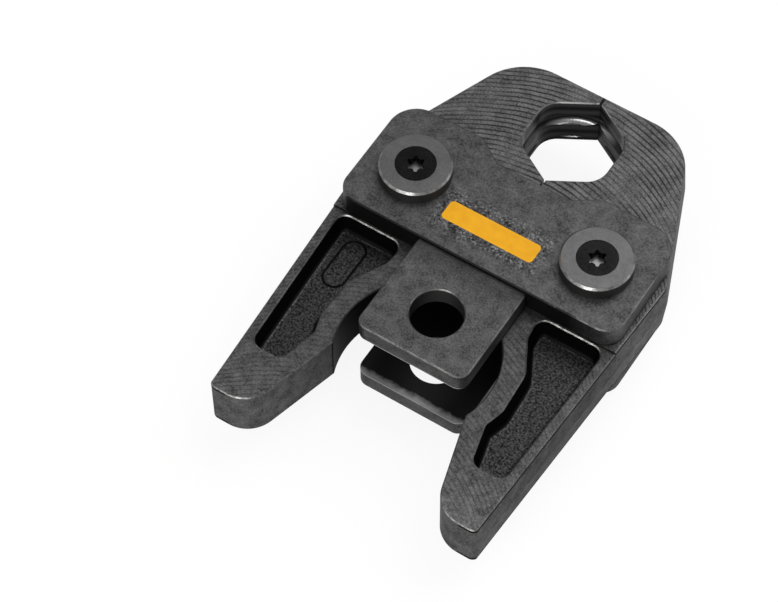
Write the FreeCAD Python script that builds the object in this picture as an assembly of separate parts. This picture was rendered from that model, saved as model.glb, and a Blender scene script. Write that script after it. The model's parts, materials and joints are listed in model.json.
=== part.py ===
"""Press fitting tool jaw: two forged levers that pivot between two T-shaped plates.

All lengths are millimetres. The origin is the centre of the lock bolt bore, halfway
between the plates. +Y points to the nose, +X to the right and +Z up through the
thickness. The jaw is its own mirror image about X = 0, apart from a shallow mark in its
left pocket. Only the grooves of its press contour differ above and below the middle plane.
"""
import FreeCAD, Part
import math
import os

# Lock bolt bore and tongue of the plates
BORE_DIAMETER = 14.0
TONGUE_WIDTH = 32.0
TONGUE_REAR_Y = -13.4
TONGUE_CORNER_RADIUS = 3.0
TONGUE_THICKNESS = 5.5

# Crossbar of the plates
CROSSBAR_WIDTH = 83.0
CROSSBAR_REAR_Y = 16.7
CROSSBAR_FRONT_Y = 51.4
CROSSBAR_REAR_RADIUS = 5.5
CROSSBAR_FRONT_RADIUS = 8.0
CROSSBAR_STEP = 1.2
FRONT_RELIEF_DEPTH = 4.8
FRONT_RELIEF_FLOOR_WIDTH = 22.0
FRONT_RELIEF_MOUTH_WIDTH = 36.0
FRONT_RELIEF_RADIUS = 4.0
PLATE_GAP = 17.2
PLATE_EDGE_CHAMFER = 0.35

# Pivots
PIVOT_SPACING = 54.0
PIVOT_Y = 32.7
PIN_DIAMETER = 14.0
PIN_FIT_CLEARANCE = 0.05
PIN_END_PLAY = 0.05
PIN_END_CHAMFER = 0.6
PIN_TAP_DEPTH = 12.0

# Washers and screws at the pin ends
WASHER_DIAMETER = 19.3
WASHER_THICKNESS = 4.0
WASHER_BEVEL_WIDTH = 0.5
WASHER_BEVEL_HEIGHT = 0.6
SCREW_DIAMETER = 6.0
SCREW_LENGTH = 14.0
SCREW_HEAD_DIAMETER = 10.8
SCREW_HEAD_RIM = 0.4
SCREW_SINK = 0.15
SCREW_CLEARANCE = 0.05
SCREW_END_CHAMFER = 0.6
DRIVE_WIDTH = 5.0
DRIVE_DEPTH = 2.4
DRIVE_ROOT_SHARE = 0.72
DRIVE_SHOULDER_SHARE = 0.97
DRIVE_LOBE_ANGLE = 0.16

# Levers, outer contour
HEAD_THICKNESS = 16.8
TAIL_THICKNESS = 15.4
SEAM_GAP = 0.12
NOSE_Y = 83.8
NOSE_CORNER_X = 25.75
NOSE_CORNER_RADIUS = 16.0
WIDEST_X = 43.4
WIDEST_Y = 40.7
WIDEST_RADIUS = 6.0
TAIL_END_Y = -44.7
TAIL_END_OUTER_X = 39.0
TAIL_END_TAPER = 0.18
TAIL_END_OUTER_ROUNDING = 0.17
TAIL_END_INNER_ROUNDING = 0.75
FORGING_BULGE = 0.6
LEVER_EDGE_CHAMFER = 0.3
SEAM_EDGE_CHAMFER = 0.1

# Levers, inner contour
RAMP_TOP_X = 19.5
RAMP_TOP_Y = -17.2
RAMP_SLOPE = 0.28
SHOULDER_RADIUS = 2.0
ROLLER_POCKET_RADIUS = 23.2
ROLLER_POCKET_X = -1.95
ROLLER_POCKET_Y = -9.45
SHOULDER_X = 15.6
SHOULDER_FRONT_Y = 26.0
CONTACT_REAR_Y = 36.0

# Press contour
CONTOUR_Y = 67.1
CONTOUR_ACROSS_FLATS = 24.9
CONTOUR_SIDE_RADIUS = 6.4
CONTOUR_CHAMFER = 0.3
BEAD_GROOVE_DIAMETER = 29.0
BEAD_GROOVE_RADIUS = 2.3
BEAD_GROOVE_Z = 0.7
LOWER_GROOVE_DIAMETER = 26.0
LOWER_GROOVE_RADIUS = 1.3
LOWER_GROOVE_Z = -6.0
SEAM_NOTCH_LENGTH = 2.2
SEAM_NOTCH_WIDTH = 0.6
SEAM_NOTCH_RADIUS = 0.25

# Pockets in the tails
POCKET_DEPTH = 5.4
POCKET_DRAFT = 1.0
POCKET_FLOOR_RADIUS = 1.4
POCKET_FRONT_Y = 16.4
POCKET_REAR_Y = -28.9
POCKET_RIM = 2.6
POCKET_CHAMFER = 0.3
POCKET_CORNER_RADIUS = 3.0
POCKET_FRONT_X = 20.3
POCKET_NECK_X = 21.0
POCKET_NECK_Y = 9.6
POCKET_WAIST_X = 26.2
POCKET_WAIST_Y = 0.0
POCKET_WAIST_RADIUS = 6.0
POCKET_BUMP_X = 26.9
POCKET_BUMP_Y = -12.0
POCKET_BUMP_RADIUS = 4.0
POCKET_BAY_X = 25.3
POCKET_BAY_Y = -17.6
POCKET_BAY_RADIUS = 1.5
POCKET_REAR_SHARE = 0.54

# Shallow forging mark in the floor of the left pocket
MARK_WIDTH = 7.0
MARK_LENGTH = 16.0
MARK_X = -32.0
MARK_Y = 6.2
MARK_DEPTH = 0.4
MARK_GROOVE_WIDTH = 0.7
MARK_ROUND_SHARE = 0.96

# Closing spring
SPRING_Y = 20.5
SPRING_DIAMETER = 9.0
SPRING_WIRE = 1.4
SPRING_TURNS = 8.0
SPRING_SEAT_DEPTH = 4.4
SPRING_SEAT_DIAMETER = 9.8
SPRING_END_GAP = 0.3

# Small working values
PAST = 1.0
PIVOT_X = PIVOT_SPACING / 2
GAP_HALF = PLATE_GAP / 2
TONGUE_FACE_Z = GAP_HALF + TONGUE_THICKNESS
CROSSBAR_FACE_Z = TONGUE_FACE_Z + CROSSBAR_STEP
PIN_END_Z = CROSSBAR_FACE_Z + PIN_END_PLAY
WASHER_TOP_Z = PIN_END_Z + WASHER_THICKNESS

Z_AXIS = FreeCAD.Vector(0, 0, 1)
X_AXIS = FreeCAD.Vector(1, 0, 0)


def vec(x, y, z=0.0):
    """Give a point or direction."""
    return FreeCAD.Vector(x, y, z)


def rounded_outline(corners, z=0.0):
    """Give the closed wire through corners of (x, y, radius), each rounded by a tangent arc."""
    starts = []
    ends = []
    middles = []
    count = len(corners)
    for i in range(count):
        x, y, radius = corners[i]
        here = vec(x, y, z)
        before = vec(corners[i - 1][0], corners[i - 1][1], z) - here
        after = vec(corners[(i + 1) % count][0], corners[(i + 1) % count][1], z) - here
        before.normalize()
        after.normalize()
        half_angle = before.getAngle(after) / 2
        reach = radius / math.tan(half_angle)
        bisector = before + after
        bisector.normalize()
        starts.append(here + before * reach)
        ends.append(here + after * reach)
        middles.append(here + bisector * (radius / math.sin(half_angle) - radius))
    edges = []
    for i in range(count):
        if corners[i][2] > 0:
            edges.append(Part.Arc(starts[i], middles[i], ends[i]).toShape())
        edges.append(Part.LineSegment(ends[i], starts[(i + 1) % count]).toShape())
    return Part.Wire(edges)


def grown(corners, distance):
    """Give the corners with every side moved outwards by distance, and the radii to match."""
    count = len(corners)
    area = 0.0
    for i in range(count):
        area += corners[i - 1][0] * corners[i][1] - corners[i][0] * corners[i - 1][1]
    turn = math.copysign(1.0, area)
    moved = []
    for i in range(count):
        x, y, radius = corners[i]
        back = vec(x - corners[i - 1][0], y - corners[i - 1][1])
        ahead = vec(corners[(i + 1) % count][0] - x, corners[(i + 1) % count][1] - y)
        back.normalize()
        ahead.normalize()
        normal_back = vec(back.y * turn, -back.x * turn)
        normal_ahead = vec(ahead.y * turn, -ahead.x * turn)
        middle = normal_back + normal_ahead
        shift = middle * (distance / (1 + normal_back.dot(normal_ahead)))
        convex = turn * (back.x * ahead.y - back.y * ahead.x) > 0
        if radius > 0:
            radius = radius + distance if convex else radius - distance
        moved.append((x + shift.x, y + shift.y, radius))
    return moved


def stacked(sections):
    """Give the solid through (z, corners) sections, with straight walls between neighbours."""
    layers = []
    for (low, low_corners), (high, high_corners) in zip(sections, sections[1:]):
        if low_corners == high_corners:
            layers.append(prism(rounded_outline(low_corners), low, high))
        else:
            wires = [rounded_outline(low_corners, low), rounded_outline(high_corners, high)]
            layers.append(Part.makeLoft(wires, True, True))
    return layers[0].fuse(layers[1:]).removeSplitter()


def prism(wire, bottom, top):
    """Give the upright solid over a flat wire drawn at Z = 0, from bottom to top."""
    face = Part.Face(wire)
    face.translate(vec(0, 0, bottom))
    return face.extrude(vec(0, 0, top - bottom))


def cylinder(radius, x, y, bottom, top):
    """Give an upright cylinder."""
    return Part.makeCylinder(radius, top - bottom, vec(x, y, bottom), Z_AXIS)


def flared_cylinder(radius, x, y, half, chamfer):
    """Make an upright cutter from below the middle plane to half, with a chamfered mouth."""
    column = cylinder(radius, x, y, -half, half + PAST)
    mouth = Part.makeCone(radius, radius + chamfer, chamfer, vec(x, y, half - chamfer), Z_AXIS)
    return column.fuse(mouth)


def turned(profile, x, y):
    """Give the solid turned from a closed (radius, z) profile about the upright axis at x, y."""
    points = [vec(radius, 0, z) for radius, z in profile]
    face = Part.Face(Part.makePolygon(points + points[:1]))
    solid = face.revolve(vec(0, 0, 0), Z_AXIS, 360)
    solid.translate(vec(x, y, 0))
    return solid


def mirrored_left(shape):
    """Give the mirror image of a right-hand piece."""
    return shape.mirror(vec(0, 0, 0), X_AXIS)


def mirrored_down(shape):
    """Give the mirror image of a piece above the middle plane."""
    return shape.mirror(vec(0, 0, 0), Z_AXIS)


def flat_edges(shape, level):
    """Give the edges that lie wholly in the plane Z = level."""
    found = []
    for edge in shape.Edges:
        box = edge.BoundBox
        if abs(box.ZMin - level) < 1e-4 and abs(box.ZMax - level) < 1e-4:
            found.append(edge)
    return found


def tongue_corners():
    """Give the corners of the tongue's plan, which runs on inside the crossbar."""
    half = TONGUE_WIDTH / 2
    front = CROSSBAR_REAR_Y + CROSSBAR_REAR_RADIUS
    return [
        (half, TONGUE_REAR_Y, TONGUE_CORNER_RADIUS),
        (half, front, 0),
        (-half, front, 0),
        (-half, TONGUE_REAR_Y, TONGUE_CORNER_RADIUS),
    ]


def crossbar_corners():
    """Give the corners of the crossbar's plan, relieved at the front around the press contour."""
    half = CROSSBAR_WIDTH / 2
    mouth = FRONT_RELIEF_MOUTH_WIDTH / 2
    floor = FRONT_RELIEF_FLOOR_WIDTH / 2
    floor_y = CROSSBAR_FRONT_Y - FRONT_RELIEF_DEPTH
    return [
        (half, CROSSBAR_REAR_Y, CROSSBAR_REAR_RADIUS),
        (half, CROSSBAR_FRONT_Y, CROSSBAR_FRONT_RADIUS),
        (mouth, CROSSBAR_FRONT_Y, FRONT_RELIEF_RADIUS),
        (floor, floor_y, FRONT_RELIEF_RADIUS),
        (-floor, floor_y, FRONT_RELIEF_RADIUS),
        (-mouth, CROSSBAR_FRONT_Y, FRONT_RELIEF_RADIUS),
        (-half, CROSSBAR_FRONT_Y, CROSSBAR_FRONT_RADIUS),
        (-half, CROSSBAR_REAR_Y, CROSSBAR_REAR_RADIUS),
    ]


def chamfered_slab(corners, bottom, top, chamfer):
    """Give the upright slab over a plan, chamfered around its top."""
    slab = prism(rounded_outline(corners), bottom, top)
    return slab.makeChamfer(chamfer, flat_edges(slab, top))


def flared_prism(corners, bottom, face, chamfer):
    """Give the upright cutter over a plan, past the face, with a chamfered mouth there."""
    column = prism(rounded_outline(corners), bottom, face + PAST)
    mouth = prism(rounded_outline(grown(corners, chamfer)), face - chamfer, face + PAST)
    mouth = mouth.makeChamfer(chamfer, flat_edges(mouth, face - chamfer))
    return column.fuse(mouth).removeSplitter()


def make_upper_plate():
    """Make the upper T-shaped plate with its bolt bore and two pin holes."""
    tongue = chamfered_slab(tongue_corners(), GAP_HALF, TONGUE_FACE_Z, PLATE_EDGE_CHAMFER)
    crossbar = chamfered_slab(crossbar_corners(), GAP_HALF, CROSSBAR_FACE_Z, PLATE_EDGE_CHAMFER)
    plate = crossbar.fuse(tongue).removeSplitter()
    plate = plate.cut(flared_cylinder(BORE_DIAMETER / 2, 0, 0, TONGUE_FACE_Z, PLATE_EDGE_CHAMFER))
    for side in (-1, 1):
        hole = cylinder(PIN_DIAMETER / 2 + PIN_FIT_CLEARANCE, side * PIVOT_X, PIVOT_Y,
                        GAP_HALF - PAST, CROSSBAR_FACE_Z + PAST)
        plate = plate.cut(hole)
    return plate


def make_right_pin():
    """Make the right pivot pin, tapped from both ends."""
    radius = PIN_DIAMETER / 2
    pin = cylinder(radius, PIVOT_X, PIVOT_Y, -PIN_END_Z, PIN_END_Z)
    pin = pin.makeChamfer(PIN_END_CHAMFER, flat_edges(pin, PIN_END_Z) + flat_edges(pin, -PIN_END_Z))
    hole = cylinder(SCREW_DIAMETER / 2 + SCREW_CLEARANCE, PIVOT_X, PIVOT_Y,
                    PIN_END_Z - PIN_TAP_DEPTH, PIN_END_Z + PAST)
    return pin.cut(hole).cut(mirrored_down(hole))


def make_upper_right_washer():
    """Make a bevelled washer, countersunk for its screw."""
    outer = WASHER_DIAMETER / 2
    hole = SCREW_DIAMETER / 2 + SCREW_CLEARANCE
    sink = SCREW_HEAD_DIAMETER / 2 + SCREW_CLEARANCE
    sink_z = WASHER_TOP_Z - SCREW_SINK - SCREW_HEAD_RIM
    return turned([
        (hole, PIN_END_Z),
        (outer, PIN_END_Z),
        (outer, WASHER_TOP_Z - WASHER_BEVEL_HEIGHT),
        (outer - WASHER_BEVEL_WIDTH, WASHER_TOP_Z),
        (sink, WASHER_TOP_Z),
        (sink, sink_z),
        (hole, sink_z - (sink - hole)),
    ], PIVOT_X, PIVOT_Y)


def six_lobe_outline(width):
    """Give a six-lobed star of the given width over its lobes, made of arcs."""
    outer = width / 2
    tip = (0.0, outer)
    root = (math.pi / 6, outer * DRIVE_ROOT_SHARE)
    shoulder = outer * DRIVE_SHOULDER_SHARE
    edges = []
    for lobe in range(6):
        places = [(-DRIVE_LOBE_ANGLE, shoulder), tip, (DRIVE_LOBE_ANGLE, shoulder), root,
                  (math.pi / 3 - DRIVE_LOBE_ANGLE, shoulder)]
        points = []
        for offset, radius in places:
            angle = lobe * math.pi / 3 + offset
            points.append(vec(radius * math.cos(angle), radius * math.sin(angle)))
        edges.append(Part.Arc(points[0], points[1], points[2]).toShape())
        edges.append(Part.Arc(points[2], points[3], points[4]).toShape())
    return Part.Wire(edges)


def make_upper_right_screw():
    """Make a countersunk screw with a six-lobed drive; its thread is left plain."""
    radius = SCREW_DIAMETER / 2
    head = SCREW_HEAD_DIAMETER / 2
    top = WASHER_TOP_Z - SCREW_SINK
    end = top - SCREW_LENGTH
    cone_top = top - SCREW_HEAD_RIM
    screw = turned([
        (0, top),
        (head, top),
        (head, cone_top),
        (radius, cone_top - (head - radius)),
        (radius, end + SCREW_END_CHAMFER),
        (radius - SCREW_END_CHAMFER, end),
        (0, end),
    ], PIVOT_X, PIVOT_Y)
    star = six_lobe_outline(DRIVE_WIDTH)
    star.translate(vec(PIVOT_X, PIVOT_Y))
    return screw.cut(prism(star, top - DRIVE_DEPTH, top + PAST))


def flank_x(y):
    """Give the lever's outer edge at y, on the straight run behind its widest corner."""
    slope = (WIDEST_X - TAIL_END_OUTER_X) / (WIDEST_Y - TAIL_END_Y)
    return TAIL_END_OUTER_X + slope * (y - TAIL_END_Y)


def ramp_x(y):
    """Give the lever's inner edge at y, on the roller ramp."""
    return RAMP_TOP_X + RAMP_SLOPE * (RAMP_TOP_Y - y)


def blank_corners():
    """Give the corners of the forged blank's plan: nose, flank and tail, open towards the seam."""
    rear_y = TAIL_END_Y - PAST
    return [
        (-PAST, rear_y, 0),
        (flank_x(rear_y), rear_y, 0),
        (WIDEST_X, WIDEST_Y, WIDEST_RADIUS),
        (NOSE_CORNER_X, NOSE_Y, NOSE_CORNER_RADIUS),
        (-PAST, NOSE_Y, 0),
    ]


def envelope_corners():
    """Give the corners of the milled plan: seam, shoulder, ramp and tail end.

    The seam side stands past the seam, so that its trimmed edge keeps a smaller chamfer.
    """
    beyond_x = max(WIDEST_X, TAIL_END_OUTER_X) + FORGING_BULGE + PAST
    beyond_y = NOSE_Y + FORGING_BULGE + PAST
    end_x = ramp_x(TAIL_END_Y)
    end_width = TAIL_END_OUTER_X - end_x
    ramp_foot_y = RAMP_TOP_Y + (RAMP_TOP_X - SHOULDER_X) / RAMP_SLOPE
    taper_y = TAIL_END_Y + (beyond_x - TAIL_END_OUTER_X) / TAIL_END_TAPER
    seam = SEAM_GAP / 2 + SEAM_EDGE_CHAMFER - LEVER_EDGE_CHAMFER
    return [
        (end_x, TAIL_END_Y, end_width * TAIL_END_INNER_ROUNDING),
        (TAIL_END_OUTER_X, TAIL_END_Y, end_width * TAIL_END_OUTER_ROUNDING),
        (beyond_x, taper_y, 0),
        (beyond_x, beyond_y, 0),
        (seam, beyond_y, 0),
        (seam, CONTACT_REAR_Y, 0),
        (SHOULDER_X, SHOULDER_FRONT_Y, SHOULDER_RADIUS),
        (SHOULDER_X, ramp_foot_y, 0),
    ]


def make_lever_slab(thickness):
    """Make the whole lever at one thickness: the drafted blank within its milled plan."""
    half = thickness / 2
    edge = half - LEVER_EDGE_CHAMFER
    blank = stacked([
        (0, grown(blank_corners(), FORGING_BULGE)),
        (edge, blank_corners()),
        (half, grown(blank_corners(), -LEVER_EDGE_CHAMFER)),
    ])
    envelope = chamfered_slab(envelope_corners(), 0, half, LEVER_EDGE_CHAMFER)
    upper = blank.common(envelope).cut(flared_cylinder(ROLLER_POCKET_RADIUS, ROLLER_POCKET_X,
                                                       ROLLER_POCKET_Y, half, LEVER_EDGE_CHAMFER))
    return upper.fuse(mirrored_down(upper)).removeSplitter()


def make_press_contour():
    """Make the cutter of the press contour: a hexagon with round side corners and two grooves."""
    corner_distance = CONTOUR_ACROSS_FLATS / math.sqrt(3)
    half = HEAD_THICKNESS / 2
    corners = []
    for k in range(6):
        angle = math.pi / 2 + k * math.pi / 3
        on_seam = k % 3 == 0
        corners.append((corner_distance * math.cos(angle), CONTOUR_Y + corner_distance * math.sin(angle),
                        0 if on_seam else CONTOUR_SIDE_RADIUS))
    upper = flared_prism(corners, 0, half, CONTOUR_CHAMFER)
    cutter = upper.fuse(mirrored_down(upper)).removeSplitter()
    for diameter, radius, level in ((BEAD_GROOVE_DIAMETER, BEAD_GROOVE_RADIUS, BEAD_GROOVE_Z),
                                    (LOWER_GROOVE_DIAMETER, LOWER_GROOVE_RADIUS, LOWER_GROOVE_Z)):
        centre = diameter / 2 - radius
        ring = Part.makeTorus(centre, radius, vec(0, CONTOUR_Y, level), Z_AXIS)
        core = cylinder(centre, 0, CONTOUR_Y, level - radius, level + radius)
        cutter = cutter.fuse(ring.fuse(core))
    return cutter


def make_seam_notch():
    """Make the cutter of the notch behind the contour's rear corner."""
    rear = CONTOUR_Y - CONTOUR_ACROSS_FLATS / math.sqrt(3)
    half = SEAM_NOTCH_WIDTH / 2
    outline = rounded_outline([
        (-half, rear + PAST, 0),
        (-half, rear - SEAM_NOTCH_LENGTH, SEAM_NOTCH_RADIUS),
        (half, rear - SEAM_NOTCH_LENGTH, SEAM_NOTCH_RADIUS),
        (half, rear + PAST, 0),
    ])
    return prism(outline, -HEAD_THICKNESS, HEAD_THICKNESS)


def pocket_corners():
    """Give the corners of the tail pocket's plan, which leaves an even rim along the flank."""
    rear_x = flank_x(POCKET_REAR_Y) - POCKET_RIM
    rear_width = POCKET_REAR_SHARE * (flank_x(POCKET_REAR_Y) - ramp_x(POCKET_REAR_Y))
    return [
        (POCKET_FRONT_X, POCKET_FRONT_Y, POCKET_CORNER_RADIUS),
        (POCKET_NECK_X, POCKET_NECK_Y, POCKET_CORNER_RADIUS),
        (POCKET_WAIST_X, POCKET_WAIST_Y, POCKET_WAIST_RADIUS),
        (POCKET_BUMP_X, POCKET_BUMP_Y, POCKET_BUMP_RADIUS),
        (POCKET_BAY_X, POCKET_BAY_Y, POCKET_BAY_RADIUS),
        (rear_x - rear_width, POCKET_REAR_Y, POCKET_CORNER_RADIUS),
        (rear_x, POCKET_REAR_Y, POCKET_CORNER_RADIUS),
        (flank_x(POCKET_FRONT_Y) - POCKET_RIM, POCKET_FRONT_Y, POCKET_CORNER_RADIUS),
    ]


def make_tail_pocket():
    """Make the cutter of the forged pocket in the tail's upper face, drafted and rounded."""
    face = TAIL_THICKNESS / 2
    floor = face - POCKET_DEPTH
    well = stacked([
        (floor, grown(pocket_corners(), -POCKET_DRAFT)),
        (face, pocket_corners()),
    ])
    well = well.makeFillet(POCKET_FLOOR_RADIUS, flat_edges(well, floor))
    return well.fuse(flared_prism(pocket_corners(), face - POCKET_CHAMFER, face, POCKET_CHAMFER))


def make_forging_mark():
    """Make the cutter of the shallow oblong groove in the floor of the left pocket."""
    floor = TAIL_THICKNESS / 2 - POCKET_DEPTH
    radius = MARK_WIDTH / 2
    half = MARK_LENGTH / 2
    corners = [
        (MARK_X - radius, MARK_Y - half, radius * MARK_ROUND_SHARE),
        (MARK_X + radius, MARK_Y - half, radius * MARK_ROUND_SHARE),
        (MARK_X + radius, MARK_Y + half, radius * MARK_ROUND_SHARE),
        (MARK_X - radius, MARK_Y + half, radius * MARK_ROUND_SHARE),
    ]
    oblong = prism(rounded_outline(corners), floor - MARK_DEPTH, floor + MARK_DEPTH)
    island = prism(rounded_outline(grown(corners, -MARK_GROOVE_WIDTH)), floor - PAST, floor + PAST)
    return oblong.cut(island)


def make_right_jaw():
    """Make the right lever: head half, pivot eye and the slightly thinner tail."""
    step_y = CROSSBAR_REAR_Y + PLATE_EDGE_CHAMFER
    reach = 2 * NOSE_Y
    front = Part.makeBox(reach, reach, reach, vec(SEAM_GAP / 2, step_y, -reach / 2))
    rear = Part.makeBox(reach, reach, reach, vec(-reach / 2, step_y - reach, -reach / 2))
    head = make_lever_slab(HEAD_THICKNESS).common(front)
    tail = make_lever_slab(TAIL_THICKNESS).common(rear)
    pocket = make_tail_pocket()
    tail = tail.cut(pocket).cut(mirrored_down(pocket))
    head = head.cut(make_press_contour()).cut(make_seam_notch())
    lever = head.fuse(tail)
    eye = cylinder(PIN_DIAMETER / 2 + PIN_FIT_CLEARANCE, PIVOT_X, PIVOT_Y, -HEAD_THICKNESS, HEAD_THICKNESS)
    seat = Part.makeCylinder(SPRING_SEAT_DIAMETER / 2, SPRING_SEAT_DEPTH + PAST,
                             vec(SHOULDER_X - PAST, SPRING_Y, 0), X_AXIS)
    return lever.cut(eye).cut(seat).removeSplitter()


def make_closing_spring():
    """Make the compression spring that holds the jaw closed, lying along X."""
    radius = (SPRING_DIAMETER - SPRING_WIRE) / 2
    half = SHOULDER_X + SPRING_SEAT_DEPTH - SPRING_END_GAP - SPRING_WIRE / 2
    pitch = 2 * half / SPRING_TURNS
    helix = Part.makeHelix(pitch, 2 * half, radius)
    section = Part.Wire(Part.makeCircle(SPRING_WIRE / 2, vec(radius, 0, 0), vec(0, 1, 0)))
    coil = Part.Wire(helix.Edges).makePipeShell([section], True, True)
    coil.rotate(vec(0, 0, 0), vec(0, 1, 0), 90)
    coil.translate(vec(-half, SPRING_Y, 0))
    return coil


def main():
    """Build every piece and write one file for each."""
    upper_plate = make_upper_plate()
    right_jaw = make_right_jaw()
    right_pin = make_right_pin()
    washer = make_upper_right_washer()
    screw = make_upper_right_screw()
    pieces = {
        "upper_plate": upper_plate,
        "lower_plate": mirrored_down(upper_plate),
        "right_jaw": right_jaw,
        "left_jaw": mirrored_left(right_jaw).cut(make_forging_mark()),
        "right_pin": right_pin,
        "left_pin": mirrored_left(right_pin),
        "upper_right_washer": washer,
        "upper_left_washer": mirrored_left(washer),
        "lower_right_washer": mirrored_down(washer),
        "lower_left_washer": mirrored_down(mirrored_left(washer)),
        "upper_right_screw": screw,
        "upper_left_screw": mirrored_left(screw),
        "lower_right_screw": mirrored_down(screw),
        "lower_left_screw": mirrored_down(mirrored_left(screw)),
        "closing_spring": make_closing_spring(),
    }
    os.makedirs("parts", exist_ok=True)
    for name, shape in pieces.items():
        shape.exportStep(os.path.join("parts", name + ".step"))
        print(name, "solids", len(shape.Solids), "valid", shape.isValid(), "volume", round(shape.Volume, 1))


main()
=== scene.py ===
"""Dressed scene of a press fitting tool jaw.

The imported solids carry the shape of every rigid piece. This script gives each of them its
steel finish, winds the closing spring, paints the plain yellow bar on the crossbar and sets
up the studio: pale floor, soft lamps and the photograph's camera. Positions are metres in
the frame of the solids. Sizes named in millimetres are scaled by MM.
"""
from __future__ import annotations

import json
import logging
import math
from dataclasses import dataclass
from enum import Enum
from functools import cached_property

import bpy
import numpy as np
from mathutils import Matrix, Vector

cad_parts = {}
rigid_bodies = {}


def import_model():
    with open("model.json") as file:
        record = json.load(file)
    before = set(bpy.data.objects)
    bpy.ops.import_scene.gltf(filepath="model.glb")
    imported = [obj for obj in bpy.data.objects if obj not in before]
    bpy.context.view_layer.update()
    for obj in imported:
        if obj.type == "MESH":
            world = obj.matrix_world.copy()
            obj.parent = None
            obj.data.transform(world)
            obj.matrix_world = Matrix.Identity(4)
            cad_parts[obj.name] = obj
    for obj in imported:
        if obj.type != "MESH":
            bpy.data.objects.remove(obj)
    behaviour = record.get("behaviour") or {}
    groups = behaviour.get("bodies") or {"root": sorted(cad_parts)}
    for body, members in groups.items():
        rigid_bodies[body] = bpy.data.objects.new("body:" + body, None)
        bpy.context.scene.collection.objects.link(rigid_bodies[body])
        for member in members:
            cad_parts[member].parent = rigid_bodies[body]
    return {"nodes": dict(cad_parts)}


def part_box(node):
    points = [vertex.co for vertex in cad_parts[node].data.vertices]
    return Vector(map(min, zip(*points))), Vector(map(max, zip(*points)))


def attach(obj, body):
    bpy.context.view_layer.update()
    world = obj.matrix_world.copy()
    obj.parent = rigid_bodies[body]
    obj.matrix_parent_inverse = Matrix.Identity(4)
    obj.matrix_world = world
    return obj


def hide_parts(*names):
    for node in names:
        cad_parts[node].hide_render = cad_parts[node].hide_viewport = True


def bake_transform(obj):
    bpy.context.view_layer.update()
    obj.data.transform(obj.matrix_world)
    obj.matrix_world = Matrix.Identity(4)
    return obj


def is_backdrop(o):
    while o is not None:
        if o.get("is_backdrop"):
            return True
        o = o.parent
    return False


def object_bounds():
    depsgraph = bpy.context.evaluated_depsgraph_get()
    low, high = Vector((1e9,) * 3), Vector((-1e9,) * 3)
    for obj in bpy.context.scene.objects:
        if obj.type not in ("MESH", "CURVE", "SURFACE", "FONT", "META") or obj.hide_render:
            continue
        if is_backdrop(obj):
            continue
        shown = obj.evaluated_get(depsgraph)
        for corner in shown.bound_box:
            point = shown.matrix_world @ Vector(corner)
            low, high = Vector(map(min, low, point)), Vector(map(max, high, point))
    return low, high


MM = 0.001
WHITE = "#FFFFFF"
FULL_TURN = 2 * math.pi
LOG = logging.getLogger("press_jaw")

# Input sockets of the Mix node in its colour mode
FACTOR = 0
FIRST = 6
SECOND = 7

# A face's slope is one where it looks straight up or down and nought on an upright wall
FLAT_SLOPE = 0.9
UPRIGHT_SLOPE = 0.3
CHAMFER_SLOPE = 0.70
CHAMFER_SPREAD = 0.13

Node = bpy.types.Node
Socket = bpy.types.NodeSocket
Point = tuple[float, float]
Corner = tuple[float, float, float]


class Body(Enum):
    """Moving bodies of the jaw."""

    PLATES = "plates"
    LEFT_LEVER = "left_lever"
    RIGHT_LEVER = "right_lever"


class Slot(Enum):
    """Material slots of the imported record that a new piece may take."""

    SPRING = "spring_steel"


def linear_colour(hex_colour: str) -> tuple[float, float, float, float]:
    """Turn an sRGB hex colour into linear red, green, blue and alpha.

    Args:
        hex_colour: Six hex digits after a hash mark.

    Returns:
        The linear colour with an alpha of one.
    """
    channels = []
    for start in (1, 3, 5):
        value = int(hex_colour[start:start + 2], 16) / 255
        channels.append(value / 12.92 if value <= 0.04045 else ((value + 0.055) / 1.055) ** 2.4)
    return (channels[0], channels[1], channels[2], 1.0)


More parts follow.
